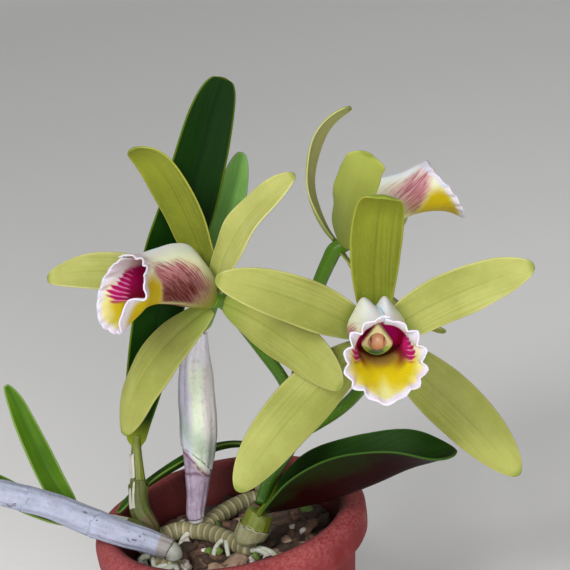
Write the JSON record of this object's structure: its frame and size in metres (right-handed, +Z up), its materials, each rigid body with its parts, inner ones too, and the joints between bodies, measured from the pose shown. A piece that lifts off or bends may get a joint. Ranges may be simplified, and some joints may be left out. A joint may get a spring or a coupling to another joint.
{
  "type": "potted cattleya orchid",
  "caption": "Potted orchid in bloom: green-yellow petals and sepals round ruffled white, magenta and yellow lips, thick strap leaves, and swollen stems rooted in bark in a round clay pot.",
  "frame": {"origin": "middle of the pot's foot, on the surface that it stands on", "axes": "+Z up, +X to the viewer's right and -Y towards the viewer, from where the front bloom faces"},
  "size_m": [0.1954, 0.1489, 0.2224],
  "materials": {
    "tepal": "waxy green-yellow petal and sepal",
    "lip": "matt white lip, with magenta and yellow in its throat",
    "column": "waxy green and pink column",
    "stem": "smooth green stem, partly under a papery white sheath",
    "leaf": "thick dark green leaf, semi-gloss",
    "root": "matt fibrous root",
    "bark": "rough bark chips",
    "clay": "unglazed red clay"
  },
  "bodies": {
    "root": {"bloom_front_sepal_dorsal": "tepal", "bloom_front_petal_right": "tepal", "bloom_front_petal_left": "tepal", "bloom_front_sepal_right": "tepal", "bloom_front_sepal_left": "tepal", "bloom_front_lip": "lip", "bloom_front_column": "column", "bloom_left_sepal_dorsal": "tepal", "bloom_left_petal_right": "tepal", "bloom_left_petal_left": "tepal", "bloom_left_sepal_right": "tepal", "bloom_left_sepal_left": "tepal", "bloom_left_lip": "lip", "bloom_left_column": "column", "bloom_back_sepal_dorsal": "tepal", "bloom_back_petal_right": "tepal", "bloom_back_petal_left": "tepal", "bloom_back_sepal_right": "tepal", "bloom_back_sepal_left": "tepal", "bloom_back_lip": "lip", "bloom_back_column": "column", "flower_stem": "stem", "leaf_tall": "leaf", "leaf_back": "leaf", "leaf_left_upper": "leaf", "leaf_left_lower": "leaf", "leaf_front": "leaf", "leaf_rim": "leaf", "pseudobulb_tall": "stem", "pseudobulb_white": "stem", "pseudobulb_front": "stem", "pseudobulb_back": "stem", "pseudobulb_left": "stem", "pseudobulb_silver": "stem", "rhizome": "root", "bark_mix": "bark", "pot": "clay"}
  },
  "joints": []
}
